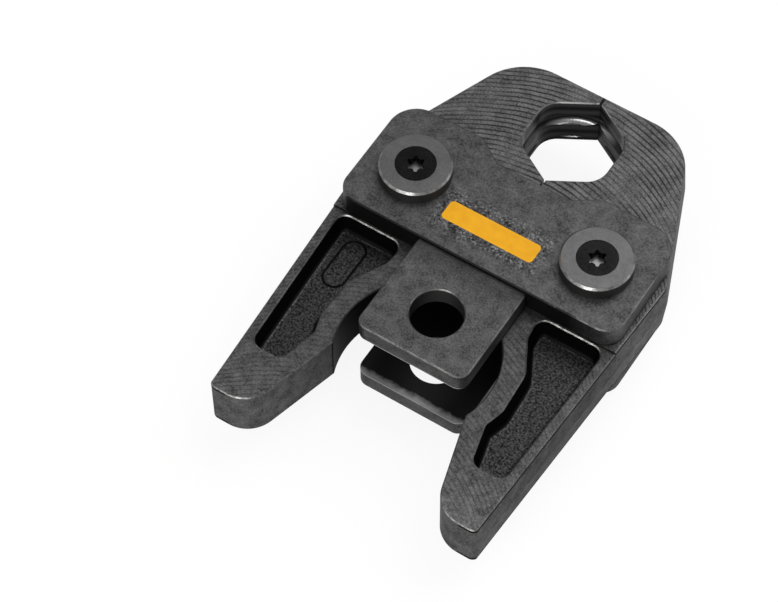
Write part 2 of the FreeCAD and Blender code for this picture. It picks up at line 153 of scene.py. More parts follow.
@dataclass
class Graph:
    """Node tree of a material or of the world, and what its nodes read of the surface."""

    tree: bpy.types.NodeTree

    def add(self, kind: str, inputs: dict | list | tuple = (), **settings: object) -> Node:
        """Add one node, set it and connect it.

        Args:
            kind: Node type without its ShaderNode prefix.
            inputs: One entry for each input, in their order or by name or number. Each is a
                value, a hex colour, an output socket, or a node whose first live output is
                meant. From and To take the least and the most of a range.
            settings: Attributes of the node.

        Returns:
            The new node.
        """
        node = self.tree.nodes.new("ShaderNode" + kind)
        for name, value in settings.items():
            setattr(node, name, value)
        for name, value in inputs.items() if isinstance(inputs, dict) else enumerate(inputs):
            if isinstance(value, (Node, Socket)):
                self.connect(value, node.inputs[name])
            elif isinstance(value, str):
                node.inputs[name].default_value = linear_colour(value)
            elif name in ("From", "To"):
                node.inputs[name + " Min"].default_value = value[0]
                node.inputs[name + " Max"].default_value = value[1]
            else:
                node.inputs[name].default_value = value
        return node

    def connect(self, source: Node | Socket, target: Socket) -> None:
        """Link an output socket, or a node's first live output, to an input socket."""
        if isinstance(source, Node):
            source = next(output for output in source.outputs if output.enabled)
        self.tree.links.new(source, target)

    @cached_property
    def place(self) -> Node:
        """Give the place on the piece in millimetres."""
        return self.add("VectorMath", {0: self.add("TexCoord").outputs["Object"],
                                       "Scale": 1 / MM}, operation="SCALE")

    @cached_property
    def across(self) -> Node:
        """Give the place with its height left out."""
        return self.add("VectorMath", [self.place, (1.0, 1.0, 0.0)], operation="MULTIPLY")

    @cached_property
    def parts(self) -> dict[str, Socket]:
        """Give the place's X, Y and Z."""
        return dict(self.add("SeparateXYZ", [self.place]).outputs.items())

    @cached_property
    def normal(self) -> dict[str, Socket]:
        """Give the X, Y and Z of the face's own normal."""
        true_normal = self.add("NewGeometry").outputs["True Normal"]
        return dict(self.add("SeparateXYZ", [true_normal]).outputs.items())

    @cached_property
    def level(self) -> Node:
        """Give how far the place lies above or below the middle plane."""
        return self.add("Math", [self.parts["Z"]], operation="ABSOLUTE")

    @cached_property
    def slope(self) -> Node:
        """Give how far the face looks up or down."""
        return self.add("Math", [self.normal["Z"]], operation="ABSOLUTE")

    @cached_property
    def flat(self) -> Node:
        """Give one on faces that look straight up or down."""
        return self.add("Math", [self.slope, FLAT_SLOPE], operation="GREATER_THAN")

    @cached_property
    def upright(self) -> Node:
        """Give one on upright walls."""
        return self.add("Math", [self.slope, UPRIGHT_SLOPE], operation="LESS_THAN")


def start_material(name: str) -> tuple[bpy.types.Material, Graph, Node]:
    """Start a material with one principled shader.

    Args:
        name: Name of the material.

    Returns:
        The material, its graph and its principled shader node.
    """
    material = bpy.data.materials.new(name)
    material.use_nodes = True
    material.node_tree.nodes.clear()
    graph = Graph(material.node_tree)
    shader = graph.add("BsdfPrincipled")
    graph.add("OutputMaterial", {"Surface": shader})
    return material, graph, shader


@dataclass(frozen=True)
class BlackenedSteel:
    """Machined or forged steel with a black phosphate coat, pale along its chamfers from wear
    and a painted highlight.

    The coat is a fine crystal layer: dull, dark grey and speckled. Where an edge is
    chamfered the coat has thinned in patches and the steel shows through; the pale colour
    there is also a painted highlight, weaker on edges that look aside. The real crystals are
    hundredths of a millimetre wide, too fine to show, so the grain is drawn coarser.
    """

    name: str
    coat: str = "#6E6E6E"
    coat_dark: str = "#303030"
    # Pale chamfer colour, for wear and a painted highlight
    wear_and_highlight: str = "#A3A2A0"
    edge_tint: str = "#B8B8B8"
    grain_mm: float = 0.5
    grain_range: Point = (0.34, 0.66)
    patch_mm: float = 3.6
    patch_range: Point = (0.3, 0.7)
    clouds: float = 0.5
    speckle: float = 0.5
    roughness: float = 0.46
    worn_polish: float = 0.75
    metallic: float = 0.85
    bump_mm: float = 0.035
    bump_strength: float = 0.8
    wear_mm: float = 2.4
    wear_range: Point = (0.40, 0.58)
    least_wear: float = 0.12
    # How much pale colour the chamfers show, less where they look aside: wear and painted
    # highlight
    edge_wear_and_highlight: float = 0.5
    aside_range: Point = (0.3, 0.5)
    sideways_highlight: float = 0.4

    def chamfer_wear_and_highlight(self, graph: Graph) -> Node:
        """Give each chamfer's wear and painted highlight, broken up where the coat still holds.

        Args:
            graph: Graph of the material.

        Returns:
            The mask.
        """
        near = graph.add("Math", [graph.slope, CHAMFER_SLOPE, CHAMFER_SPREAD],
                         operation="COMPARE")
        noise = graph.add("TexNoise", {"Vector": graph.place, "Scale": 1 / self.wear_mm,
                                       "Detail": 4.0, "Roughness": 0.7})
        wear = graph.add("MapRange", {"Value": noise, "From": self.wear_range,
                                      "To": (self.least_wear, self.edge_wear_and_highlight)})
        # Painted highlight: chamfers that look aside keep less of the pale colour
        aside = graph.add("Math", [graph.normal["X"]], operation="ABSOLUTE")
        facing_share = graph.add("MapRange", {"Value": aside, "From": self.aside_range,
                                      "To": (1.0, self.sideways_highlight)})
        amount = graph.add("Math", [wear, facing_share], operation="MULTIPLY")
        return graph.add("Math", [near, amount], operation="MULTIPLY")

    def coat_colour(self, graph: Graph) -> Node:
        """Give the coat's colour, cloudy over some millimetres and speckled at its crystals.

        Args:
            graph: Graph of the material.

        Returns:
            The colour.
        """
        clouds = graph.add("TexNoise", {"Vector": graph.place, "Scale": 1 / self.patch_mm,
                                        "Detail": 4.0, "Roughness": 0.6})
        grains = graph.add("TexNoise", {"Vector": graph.place, "Scale": 1 / self.grain_mm,
                                        "Detail": 2.0, "Roughness": 0.6})
        cloud_share = graph.add("MapRange", {"Value": clouds, "From": self.patch_range,
                                             "To Max": self.clouds})
        grain_share = graph.add("MapRange", {"Value": grains, "From": self.grain_range,
                                             "To Max": self.speckle})
        share = graph.add("Math", [cloud_share, grain_share], operation="ADD")
        return graph.add("Mix", {FACTOR: share, FIRST: self.coat, SECOND: self.coat_dark},
                         data_type="RGBA")

    def grain_height(self, graph: Graph) -> Node:
        """Give the crystal grain's height, from nought to one."""
        return graph.add("TexNoise", {"Vector": graph.place, "Scale": 1 / self.grain_mm,
                                      "Detail": 3.0, "Roughness": 0.65})

    def finish(self, graph: Graph, shader: Node, colour: Node, chamfers: Node,
               height: Node) -> None:
        """Set the shader from the coat, its chamfers' wear and painted highlight, and its
        relief.

        Args:
            graph: Graph of the material.
            shader: Principled shader node.
            colour: Colour of the coat.
            chamfers: Mask of the chamfers' wear and painted highlight.
            height: Relief, from nought to one.
        """
        wear_and_highlight = graph.add("Mix", {FACTOR: chamfers, FIRST: colour, SECOND: self.wear_and_highlight},
                         data_type="RGBA")
        rough = graph.add("MapRange", {"Value": chamfers,
                                       "To": (self.roughness,
                                              self.roughness * self.worn_polish)})
        bump = graph.add("Bump", {"Height": height, "Distance": self.bump_mm * MM,
                                  "Strength": self.bump_strength})
        graph.connect(wear_and_highlight, shader.inputs["Base Color"])
        graph.connect(rough, shader.inputs["Roughness"])
        graph.connect(bump, shader.inputs["Normal"])
        shader.inputs["Metallic"].default_value = self.metallic
        shader.inputs["Specular Tint"].default_value = linear_colour(self.edge_tint)

    def build(self) -> bpy.types.Material:
        """Build the plain coated steel.

        Returns:
            The material.
        """
        material, graph, shader = start_material(self.name)
        self.finish(graph, shader, self.coat_colour(graph), self.chamfer_wear_and_highlight(graph),
                    self.grain_height(graph))
        return material


@dataclass(frozen=True)
class MachinedPlateSteel(BlackenedSteel):
    """Blackened plate, ground flat, with painted shade where sheltered and painted rim
    highlights.

    A patch on the crossbar was grained for paint and looks like salt and pepper. Its real
    grit is too fine to show, so the specks are drawn coarser. Painted shade darkens the bore,
    the inner faces and the corner below the crossbar's step, and a painted highlight lightens
    the inner faces' rear rims.
    """

    patch_centre: Point = (-1.0, 27.5)
    patch_half: Point = (16.0, 6.5)
    patch_border: Point = (-2.0, 1.5)
    pale_speck: str = "#7C7C7C"
    pale_range: Point = (0.58, 0.68)
    dark_speck: str = "#1E1E1E"
    dark_range: Point = (0.42, 0.34)
    speck_mm: float = 0.6
    # Painted shade and painted highlight: dark on the inner faces, under the step and in the
    # bore, pale along the inner faces' rear rims
    darkened: str = "#202020"
    painted_highlight: str = "#A0A0A0"
    bore_reach_mm: float = 7.05
    bore_shade_colour: str = "#363636"
    inner_level_mm: float = 8.9
    highlight_rear_mm: Point = (-12.0, -10.4)
    fray_mm: float = 1.5
    fray_depth_mm: float = 1.6
    step_rear_mm: float = 16.5
    step_foot_mm: float = 16.6
    step_middle_mm: float = 16.7
    step_half_mm: float = 0.55
    # Painted shade in front of the step: how far it reaches over the tongue and how dark
    step_shade_mm: float = 9.0
    step_depth: float = 0.6
    step_corner_mm: Point = (28.0, 35.0)
    # Painted highlight on the step's chamfer fades out towards the middle; front chamfers get
    # none
    step_highlight_mm: Point = (4.0, 30.0)
    step_highlight: float = 0.7
    unlit_front_mm: float = 38.0

    def patch(self, graph: Graph) -> Node:
        """Give one in the grained patch, fading over its frayed border.

        Args:
            graph: Graph of the material.

        Returns:
            The mask.
        """
        reach = []
        for name, centre, half in zip("XY", self.patch_centre, self.patch_half):
            offset = graph.add("Math", [graph.parts[name], centre], operation="SUBTRACT")
            away = graph.add("Math", [offset], operation="ABSOLUTE")
            reach.append(graph.add("Math", [away, half], operation="SUBTRACT"))
        nearest = graph.add("Math", [reach[0], reach[1]], operation="MAXIMUM")
        return graph.add("MapRange", {"Value": nearest, "From": self.patch_border,
                                      "To": (1.0, 0.0)})

    def bore_mask(self, graph: Graph) -> Node:
        """Give one on the bore's wall."""
        reach = graph.add("VectorMath", [graph.across], operation="LENGTH")
        return graph.add("Math", [reach, self.bore_reach_mm], operation="LESS_THAN")

    def step_edge(self, graph: Graph) -> Node:
        """Give one on the wall and the chamfer of the crossbar's step."""
        return graph.add("Math", [graph.parts["Y"], self.step_middle_mm, self.step_half_mm],
                         operation="COMPARE")

    def step_shade(self, graph: Graph) -> Node:
        """Give the painted shade at the step: on its wall, and on the tongue up to its foot.

        Args:
            graph: Graph of the material.

        Returns:
            The mask.
        """
        foot = graph.add("MapRange", {"Value": graph.parts["Y"],
                                      "From": (self.step_shade_mm, self.step_rear_mm),
                                      "To Max": self.step_depth})
        behind = graph.add("Math", [graph.parts["Y"], self.step_foot_mm], operation="LESS_THAN")
        tongue = graph.add("Math", [foot, behind], operation="MULTIPLY")
        corner = graph.add("MapRange", {"Value": graph.parts["X"], "From": self.step_corner_mm,
                                        "To": (1.0, 0.0)})
        wall = graph.add("Math", [self.step_edge(graph), graph.flat], operation="SUBTRACT",
                         use_clamp=True)
        wall = graph.add("Math", [wall, corner], operation="MULTIPLY")
        return graph.add("Math", [tongue, wall], operation="MAXIMUM")

    def outer_colour(self, graph: Graph) -> Node:
        """Give the plain coat's colour with the specks of the grained patch.

        Args:
            graph: Graph of the material.

        Returns:
            The colour.
        """
        coat = self.coat_colour(graph)
        specks = graph.add("TexNoise", {"Vector": graph.place, "Scale": 1 / self.speck_mm,
                                        "Detail": 1.0})
        patch = self.patch(graph)
        for colour, span in ((self.dark_speck, self.dark_range),
                             (self.pale_speck, self.pale_range)):
            shown = graph.add("MapRange", {"Value": specks, "From": span})
            share = graph.add("Math", [shown, patch], operation="MULTIPLY")
            coat = graph.add("Mix", {FACTOR: share, FIRST: coat, SECOND: colour},
                             data_type="RGBA")
        return coat

    def inner_colour(self, graph: Graph) -> Node:
        """Give the inner faces' colour: painted shade, and a painted highlight along a frayed
        rear rim.

        Args:
            graph: Graph of the material.

        Returns:
            The colour.
        """
        fray = graph.add("TexNoise", {"Vector": graph.place, "Scale": 1 / self.fray_mm,
                                      "Detail": 4.0})
        frayed = graph.add("Math", [fray, self.fray_depth_mm, graph.parts["Y"]],
                           operation="MULTIPLY_ADD")
        sheltered = graph.add("MapRange", {"Value": frayed, "From": self.highlight_rear_mm})
        return graph.add("Mix", {FACTOR: sheltered, FIRST: self.painted_highlight, SECOND: self.darkened},
                         data_type="RGBA")

    def chamfer_sheen_and_wear(self, graph: Graph, bore: Node) -> Node:
        """Give the chamfers' wear and painted highlight, except at front, bore and step middle.

        Args:
            graph: Graph of the material.
            bore: Mask of the bore.

        Returns:
            The mask.
        """
        # Painted highlight: front chamfers and the step's chamfer near the middle keep the
        # coat's colour, and the step's chamfer gets paler towards plus X
        front = graph.add("Math", [graph.parts["Y"], self.unlit_front_mm],
                          operation="GREATER_THAN")
        inward = graph.add("MapRange", {"Value": graph.parts["X"], "From": self.step_highlight_mm,
                                        "To": (1.0, 1 - self.step_highlight)})
        step = graph.add("Math", [self.step_edge(graph), inward], operation="MULTIPLY")
        unlit_chamfers = graph.add("Math", [step, bore], operation="MAXIMUM")
        unlit_chamfers = graph.add("Math", [front, unlit_chamfers], operation="MAXIMUM")
        return graph.add("Math", [self.chamfer_wear_and_highlight(graph), unlit_chamfers], operation="SUBTRACT",
                         use_clamp=True)

    def build(self) -> bpy.types.Material:
        """Build the plate steel: coat, grained patch, painted shade and painted rim highlights.

        Returns:
            The material.
        """
        material, graph, shader = start_material(self.name)
        # Painted shade on the inner faces, with a painted highlight along their rear rims
        inner = graph.add("Math", [graph.level, self.inner_level_mm], operation="LESS_THAN")
        coat = graph.add("Mix", {FACTOR: inner, FIRST: self.outer_colour(graph),
                                 SECOND: self.inner_colour(graph)}, data_type="RGBA")
        # Painted shade darkens the bore's wall and the corner under the crossbar's step
        bore = self.bore_mask(graph)
        shade = graph.add("Math", [bore, self.step_shade(graph)], operation="MAXIMUM")
        painted_shade = graph.add("Mix", {FACTOR: bore, FIRST: self.darkened, SECOND: self.bore_shade_colour},
                         data_type="RGBA")
        colour = graph.add("Mix", {FACTOR: shade, FIRST: coat, SECOND: painted_shade}, data_type="RGBA")
        self.finish(graph, shader, colour, self.chamfer_sheen_and_wear(graph, bore),
                    self.grain_height(graph))
        return material


@dataclass(frozen=True)
class ForgedMilledSteel(BlackenedSteel):
    """Forged steel whose flat faces were skimmed by a wide face mill before blackening.

    The mill leaves thin bowed lines across both levers. The pockets keep the darker, coarser
    forging scale, whose real pits are too fine to show and are drawn coarser; painted shade
    darkens their sloping walls and the forging mark. The press contour is smooth, darkened
    by painted shade in bands up its height, with a painted highlight on its grooves near the
    front. The tails are darker, most beside the pockets. Oil darkens the roller hollows and
    the seam.
    """

    # Forging scale; the dark colour also gives painted shade on the pocket walls
    scale_colour: str = "#4A4A4A"
    dark_scale_and_shade: str = "#141414"
    scale_grain_mm: float = 0.6
    scale_range: Point = (0.4, 0.62)
    # Painted shade: black in the forging mark
    mark_shade_colour: str = "#141414"
    mark_below_mm: float = 2.25
    line_colour: str = "#161616"
    line_share: float = 0.85
    line_patch_mm: float = 11.0
    line_patch_range: Point = (0.35, 0.6)
    faint_line: float = 0.4
    tail_line: float = 0.45
    tail_line_mm: Point = (20.0, 38.0)
    mill_radius_mm: float = 55.0
    mill_feed_mm: float = 1.57
    mill_drift_mm: float = 1.3
    mill_drift_over_mm: float = 14.0
    mill_crest: float = 0.1
    mill_depth: float = 0.9
    milled_from_mm: float = 7.6
    chamfers_from_mm: float = 7.38
    # How much darker the tails are, and over which stretch
    tail_darkening: float = 0.35
    tail_darkening_front_mm: Point = (12.0, 24.0)
    tail_darkening_rear_mm: Point = (-42.0, -22.0)
    tail_end_darkening: float = 0.3
    pocket_top_mm: float = 7.4
    pocket_slope: float = 0.13
    pocket_front_mm: float = 17.0
    flank_x_mm: float = 34.0
    flank_line_mm: float = 7.0
    flank_line_half_mm: float = 0.4
    flank_slope: float = 0.35
    head_rise_mm: float = 0.7
    roller_axis: Point = (-1.95, -9.45)
    roller_reach_mm: float = 23.2
    roller_spread_mm: float = 0.25
    seam_half_mm: float = 0.4
    contour_y_mm: float = 67.1
    contour_reach_mm: float = 15.3
    contour_top_mm: float = 8.1
    # Painted shade in the contour, in bands, and the painted highlight on its grooves
    contour_shade_colour: str = "#343434"
    contour_deep_shade: str = "#0C0C0C"
    shade_band_mm: float = 3.4
    contour_metallic: float = 0.2
    contour_roughness: float = 0.22
    groove_highlight_colour: str = "#A0A0A0"
    groove_rise: Point = (0.4, 0.7)
    highlight_centre: Point = (-3.5, 80.5)
    highlight_reach_mm: Point = (5.0, 11.0)
    least_highlight: float = 0.1
    gloss: float = 0.03

    def mill_marks(self, graph: Graph) -> Node:
        """Give the milling marks: y less the arc of the mill, folded into one feed.

        Args:
            graph: Graph of the material.

        Returns:
            Thin lines from nought to one.
        """
        x_squared = graph.add("Math", [graph.parts["X"], graph.parts["X"]], operation="MULTIPLY")
        under = graph.add("Math", [self.mill_radius_mm ** 2, x_squared], operation="SUBTRACT")
        arc = graph.add("Math", [under], operation="SQRT")
        along = graph.add("Math", [graph.parts["Y"], arc], operation="SUBTRACT")
        drift = graph.add("TexNoise", {"Vector": graph.place,
                                       "Scale": 1 / self.mill_drift_over_mm, "Detail": 2.0})
        waver = graph.add("Math", [drift, self.mill_drift_mm, along], operation="MULTIPLY_ADD")
        turns = graph.add("Math", [waver, FULL_TURN / self.mill_feed_mm], operation="MULTIPLY")
        wave = graph.add("Math", [turns], operation="SINE")
        return graph.add("MapRange", {"Value": wave, "From": (self.mill_crest, 1.0)})

    def seam_line(self, graph: Graph) -> Node:
        """Give one along the seam in front of the contour, where oil darkens both edges.

        Args:
            graph: Graph of the material.

        Returns:
            The mask.
        """
        offset = graph.add("Math", [graph.parts["X"]], operation="ABSOLUTE")
        near = graph.add("Math", [offset, self.seam_half_mm], operation="LESS_THAN")
        front = graph.add("Math", [graph.parts["Y"], self.contour_y_mm],
                          operation="GREATER_THAN")
        return graph.add("Math", [near, front], operation="MULTIPLY")

    def shown_lines(self, graph: Graph, seam: Node) -> Node:
        """Give the milling lines as deep as they show: patchy, and fainter on the tails.

        Args:
            graph: Graph of the material.
            seam: Mask of the seam.

        Returns:
            The lines, with the seam.
        """
        outer = graph.add("Math", [graph.level, self.milled_from_mm], operation="GREATER_THAN")
        milled = graph.add("Math", [outer, graph.flat], operation="MULTIPLY")
        patches = graph.add("TexNoise", {"Vector": graph.place, "Scale": 1 / self.line_patch_mm,
                                         "Detail": 2.0})
        strength = graph.add("MapRange", {"Value": patches, "From": self.line_patch_range,
                                          "To": (self.faint_line, 1.0)})
        head = graph.add("MapRange", {"Value": graph.parts["Y"], "From": self.tail_line_mm,
                                      "To": (self.tail_line, 1.0)})
        shown = graph.add("Math", [strength, head], operation="MULTIPLY")
        shown = graph.add("Math", [shown, milled], operation="MULTIPLY")
        lines = graph.add("Math", [self.mill_marks(graph), shown], operation="MULTIPLY")
        return graph.add("Math", [lines, seam], operation="MAXIMUM")

    def tail_shade(self, graph: Graph) -> Node:
        """Give how much darker the tails are: most beside the pockets, least at the ends.

        Args:
            graph: Graph of the material.

        Returns:
            The mask.
        """
        front = graph.add("MapRange", {"Value": graph.parts["Y"], "From": self.tail_darkening_front_mm,
                                       "To": (self.tail_darkening, 0.0)})
        rear = graph.add("MapRange", {"Value": graph.parts["Y"], "From": self.tail_darkening_rear_mm,
                                      "To": (self.tail_end_darkening, 1.0)})
        return graph.add("Math", [front, rear], operation="MULTIPLY")

    def pocket_mask(self, graph: Graph) -> Node:
        """Give one in the tails' pockets: below the faces, behind the head, and not upright.

        Args:
            graph: Graph of the material.

        Returns:
            The mask.
        """
        sunk = graph.add("Math", [graph.level, self.pocket_top_mm], operation="LESS_THAN")
        drafted = graph.add("Math", [graph.slope, self.pocket_slope], operation="GREATER_THAN")
        behind = graph.add("Math", [graph.parts["Y"], self.pocket_front_mm],
                           operation="LESS_THAN")
        both = graph.add("Math", [sunk, drafted], operation="MULTIPLY")
        return graph.add("Math", [both, behind], operation="MULTIPLY")

    def flank_line(self, graph: Graph) -> Node:
        """Give one on a band just below the outer top edges of the flanks.

        Args:
            graph: Graph of the material.

        Returns:
            The mask.
        """
        out = graph.add("Math", [graph.parts["X"]], operation="ABSOLUTE")
        outside = graph.add("Math", [out, self.flank_x_mm], operation="GREATER_THAN")
        head = graph.add("Math", [graph.parts["Y"], self.pocket_front_mm],
                         operation="GREATER_THAN")
        depth = graph.add("Math", [head, -self.head_rise_mm, graph.level],
                          operation="MULTIPLY_ADD")
        band = graph.add("Math", [depth, self.flank_line_mm, self.flank_line_half_mm],
                         operation="COMPARE")
        upright = graph.add("Math", [graph.slope, self.flank_slope], operation="LESS_THAN")
        shown = graph.add("Math", [band, upright], operation="MULTIPLY")
        return graph.add("Math", [shown, outside], operation="MULTIPLY")

    def roller_mask(self, graph: Graph) -> Node:
        """Give one on the hollows where the tool's rollers run: a ring about their axis.

        Args:
            graph: Graph of the material.

        Returns:
            The mask.
        """
        out = graph.add("Math", [graph.parts["X"]], operation="ABSOLUTE")
        folded = graph.add("CombineXYZ", [out, graph.parts["Y"]])
        reach = graph.add("VectorMath", [folded, (*self.roller_axis, 0.0)], operation="DISTANCE")
        ring = graph.add("Math", [reach, self.roller_reach_mm, self.roller_spread_mm],
                         operation="COMPARE")
        return graph.add("Math", [ring, graph.upright], operation="MULTIPLY")

    def contour_mask(self, graph: Graph) -> Node:
        """Give one on the walls of the press contour.

        Args:
            graph: Graph of the material.

        Returns:
            The mask.
        """
        inside = graph.add("Math", [graph.level, self.contour_top_mm], operation="LESS_THAN")
        reach = graph.add("VectorMath", [graph.across, (0.0, self.contour_y_mm, 0.0)],
                          operation="DISTANCE")
        near = graph.add("Math", [reach, self.contour_reach_mm], operation="LESS_THAN")
        return graph.add("Math", [near, inside], operation="MULTIPLY")

    def milled_colour(self, graph: Graph, lines: Node) -> Node:
        """Give the milled faces' colour: the coat, darker on the tails, and the mill's lines.

        Args:
            graph: Graph of the material.
            lines: Milling lines.

        Returns:
            The colour.
        """
        darker_tails = graph.add("Mix", {FACTOR: self.tail_shade(graph),
                                    FIRST: self.coat_colour(graph), SECOND: self.dark_scale_and_shade},
                            data_type="RGBA")
        share = graph.add("Math", [lines, self.line_share], operation="MULTIPLY")
        return graph.add("Mix", {FACTOR: share, FIRST: darker_tails, SECOND: self.line_colour},
                         data_type="RGBA")

    def pocket_colour(self, graph: Graph) -> Node:
        """Give the pockets' colour: speckled scale on the floor, painted shade on the sloping
        walls, and black painted shade in the forging mark.

        Args:
            graph: Graph of the material.

        Returns:
            The colour.
        """
        grain = graph.add("TexNoise", {"Vector": graph.place, "Scale": 1 / self.scale_grain_mm,
                                       "Detail": 4.0, "Roughness": 0.7})
        pits = graph.add("MapRange", {"Value": grain, "From": self.scale_range})
        # Faces that are not flat take the dark colour: painted shade on the pocket walls
        share = graph.add("Math", [pits, graph.flat], operation="MULTIPLY")
        scale = graph.add("Mix", {FACTOR: share, FIRST: self.dark_scale_and_shade,
                                  SECOND: self.scale_colour}, data_type="RGBA")
        # Painted shade: the forging mark below the floor is black
        mark = graph.add("Math", [graph.level, self.mark_below_mm], operation="LESS_THAN")
        return graph.add("Mix", {FACTOR: mark, FIRST: scale, SECOND: self.mark_shade_colour},
                         data_type="RGBA")

    def groove_highlight(self, graph: Graph) -> Node:
        """Give the grooves' painted highlight: where they look up, and near the front.

        Args:
            graph: Graph of the material.

        Returns:
            The mask.
        """
        upward = graph.add("MapRange", {"Value": graph.normal["Z"], "From": self.groove_rise})
        away = graph.add("VectorMath", [graph.across, (*self.highlight_centre, 0.0)],
                         operation="DISTANCE")
        front = graph.add("MapRange", {"Value": away, "From": self.highlight_reach_mm,
                                       "To": (1.0, self.least_highlight)})
        return graph.add("Math", [upward, front], operation="MULTIPLY")

    def shaded_contour_colour(self, graph: Graph, painted_highlight: Node) -> Node:
        """Give the contour's painted shade: a sine of the height, dark to less dark, and
        highlight.

        Args:
            graph: Graph of the material.
            painted_highlight: How strong the grooves' painted highlight is.

        Returns:
            The colour.
        """
        turns = graph.add("Math", [graph.parts["Z"], FULL_TURN / self.shade_band_mm],
                          operation="MULTIPLY")
        wave = graph.add("Math", [turns], operation="SINE")
        bands = graph.add("MapRange", {"Value": wave, "From": (-1.0, 1.0)})
        shade_bands = graph.add("Mix", {FACTOR: bands, FIRST: self.contour_deep_shade,
                                   SECOND: self.contour_shade_colour}, data_type="RGBA")
        return graph.add("Mix", {FACTOR: painted_highlight, FIRST: shade_bands, SECOND: self.groove_highlight_colour},
                         data_type="RGBA")

    def chamfer_sheen_and_wear(self, graph: Graph, seam: Node) -> Node:
        """Give the chamfers' wear and painted highlight on the outer faces, without the seam's.

        Args:
            graph: Graph of the material.
            seam: Mask of the seam.

        Returns:
            The mask.
        """
        outer = graph.add("Math", [graph.level, self.chamfers_from_mm], operation="GREATER_THAN")
        chamfers = graph.add("Math", [self.chamfer_wear_and_highlight(graph), outer], operation="MULTIPLY")
        return graph.add("Math", [chamfers, seam], operation="SUBTRACT", use_clamp=True)

    def build(self) -> bpy.types.Material:
        """Build the lever steel: milled faces, forged pockets, press contour, chamfers' wear,
        and painted shade and highlights.

        Returns:
            The material.
        """
        material, graph, shader = start_material(self.name)
        seam = self.seam_line(graph)
        lines = self.shown_lines(graph, seam)
        pocketed = graph.add("Mix", {FACTOR: self.pocket_mask(graph),
                                     FIRST: self.milled_colour(graph, lines),
                                     SECOND: self.pocket_colour(graph)}, data_type="RGBA")
        # Darker bands: the roller hollows, and a band below the flanks' top edges
        dark_bands = graph.add("Math", [self.roller_mask(graph), self.flank_line(graph)],
                        operation="MAXIMUM")
        darkened = graph.add("Mix", {FACTOR: dark_bands, FIRST: pocketed, SECOND: self.dark_scale_and_shade},
                          data_type="RGBA")
        # Painted shade darkens the contour's walls in bands, and a painted highlight lightens
        # its grooves near the front
        contour = self.contour_mask(graph)
        painted_highlight = self.groove_highlight(graph)
        colour = graph.add("Mix", {FACTOR: contour, FIRST: darkened,
                                   SECOND: self.shaded_contour_colour(graph, painted_highlight)}, data_type="RGBA")
        relief = graph.add("Math", [lines, -self.mill_depth, self.grain_height(graph)],
                           operation="MULTIPLY_ADD")
        self.finish(graph, shader, colour, self.chamfer_sheen_and_wear(graph, seam), relief)

        polish = graph.add("MapRange", {"Value": contour,
                                        "To": (self.roughness, self.contour_roughness)})
        walls = graph.add("Math", [contour, painted_highlight], operation="SUBTRACT", use_clamp=True)
        metal = graph.add("MapRange", {"Value": walls,
                                       "To": (self.metallic, self.contour_metallic)})
        graph.connect(polish, shader.inputs["Roughness"])
        graph.connect(metal, shader.inputs["Metallic"])
        shader.inputs["Specular IOR Level"].default_value = self.gloss
        return material


@dataclass(frozen=True)
class TurnedSteel(BlackenedSteel):
    """Steel turned on a lathe and lightly blackened: satin, with fine rings about its axis.

    The real tool marks are a tenth of a millimetre apart, too fine to show, so the rings
    are drawn coarser.
    """

    axis: Point = (27.0, 32.7)
    ring_mm: float = 0.35
    ring_share: float = 0.25

    def build(self) -> bpy.types.Material:
        """Build the turned steel, whose rings are a sine of the way to the nearer pivot axis.

        Returns:
            The material.
        """
        material, graph, shader = start_material(self.name)
        folded = graph.add("VectorMath", [graph.across], operation="ABSOLUTE")
        reach = graph.add("VectorMath", [folded, (*self.axis, 0.0)], operation="DISTANCE")
        turns = graph.add("Math", [reach, FULL_TURN / self.ring_mm], operation="MULTIPLY")
        wave = graph.add("Math", [turns], operation="SINE")
        height = graph.add("Math", [wave, self.ring_share, self.grain_height(graph)],
                           operation="MULTIPLY_ADD")
        self.finish(graph, shader, self.coat_colour(graph), self.chamfer_wear_and_highlight(graph), height)
        return material


@dataclass(frozen=True)
class RecessHighlightScrewSteel(BlackenedSteel):
    """Black oxide screw steel with a painted highlight on its recess floor."""

    recess_mm: float = 18.7
    # Painted highlight on the recess floor
    painted_highlight: str = "#8E8E8E"

    def build(self) -> bpy.types.Material:
        """Build the screw steel: black all over, with a painted highlight on the recess floor.

        Returns:
            The material.
        """
        material, graph, shader = start_material(self.name)
        # Painted highlight: the flat floor of the recess is pale
        sunk = graph.add("Math", [graph.level, self.recess_mm], operation="LESS_THAN")
        floor = graph.add("Math", [graph.flat, sunk], operation="MULTIPLY")
        colour = graph.add("Mix", {FACTOR: floor, FIRST: self.coat_colour(graph),
                                   SECOND: self.painted_highlight}, data_type="RGBA")
        self.finish(graph, shader, colour, self.chamfer_wear_and_highlight(graph), self.grain_height(graph))
        return material


